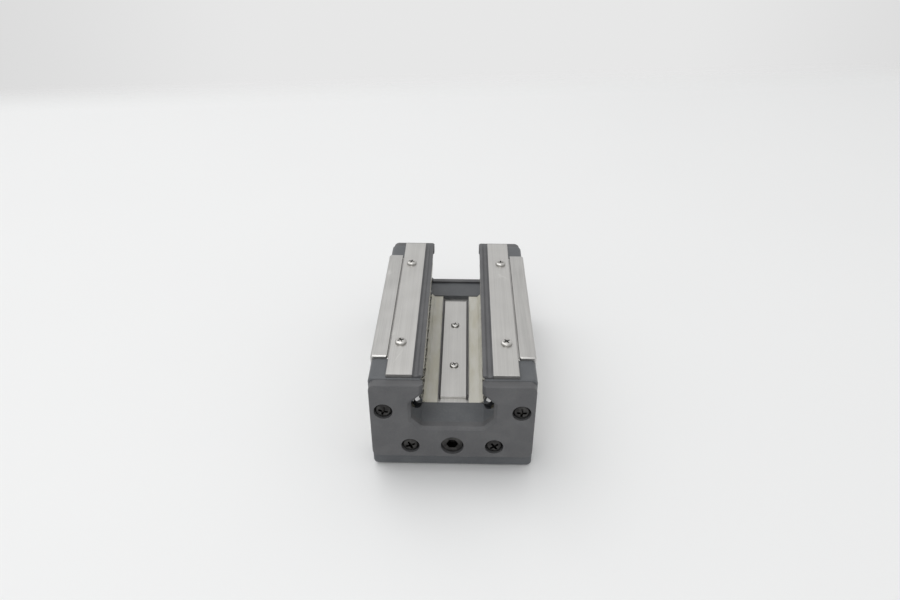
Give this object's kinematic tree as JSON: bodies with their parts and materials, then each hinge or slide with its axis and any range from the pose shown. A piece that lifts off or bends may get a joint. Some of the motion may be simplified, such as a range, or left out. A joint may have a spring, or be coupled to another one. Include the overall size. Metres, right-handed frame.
{
  "type": "linear guide block",
  "caption": "Carriage of a profiled-rail linear guide: steel body with a rail channel, ball circuits in its legs, plastic end caps, rubber end wipers and steel-backed side seals.",
  "frame": {"origin": "centre of the mounting face", "axes": "+X across the block, +Y along the rail, +Z away from the mounting face, out of the open rail channel"},
  "size_m": [0.048, 0.083, 0.0354],
  "materials": {
    "bearing_steel": "ground and oiled",
    "strip_steel": "cold-rolled strip, satin",
    "screw_steel": "plated",
    "dark_steel": "black oxide",
    "ball_steel": "polished",
    "cap_plastic": "moulded, fine grain",
    "guide_plastic": "moulded, natural",
    "retainer_plastic": "extruded, natural, oiled",
    "wiper_rubber": "moulded rubber"
  },
  "bodies": {
    "root": {"steel_block": "bearing_steel", "side_seal_screws": "screw_steel", "inner_seal_plate": "strip_steel", "inner_seal_screws": "screw_steel", "front_end_cap": "cap_plastic", "front_end_seal": "wiper_rubber", "front_end_cap_screws": "dark_steel", "front_grease_plug": "dark_steel", "front_left_web_return_guide": "guide_plastic", "front_left_lip_return_guide": "guide_plastic", "front_right_web_return_guide": "guide_plastic", "front_right_lip_return_guide": "guide_plastic", "rear_end_cap": "cap_plastic", "rear_end_seal": "wiper_rubber", "rear_end_cap_screws": "dark_steel", "rear_grease_plug": "dark_steel", "rear_left_web_return_guide": "guide_plastic", "rear_left_lip_return_guide": "guide_plastic", "rear_right_web_return_guide": "guide_plastic", "rear_right_lip_return_guide": "guide_plastic", "left_web_ball_circuit": "ball_steel", "left_lip_ball_circuit": "ball_steel", "left_web_ball_retainer": "retainer_plastic", "left_side_ball_retainer": "retainer_plastic", "left_lip_ball_retainer": "retainer_plastic", "left_side_seal_plate": "strip_steel", "left_side_seal_lip": "wiper_rubber", "left_inner_seal_lip": "wiper_rubber", "right_web_ball_circuit": "ball_steel", "right_lip_ball_circuit": "ball_steel", "right_web_ball_retainer": "retainer_plastic", "right_side_ball_retainer": "retainer_plastic", "right_lip_ball_retainer": "retainer_plastic", "right_side_seal_plate": "strip_steel", "right_side_seal_lip": "wiper_rubber", "right_inner_seal_lip": "wiper_rubber"}
  },
  "joints": []
}
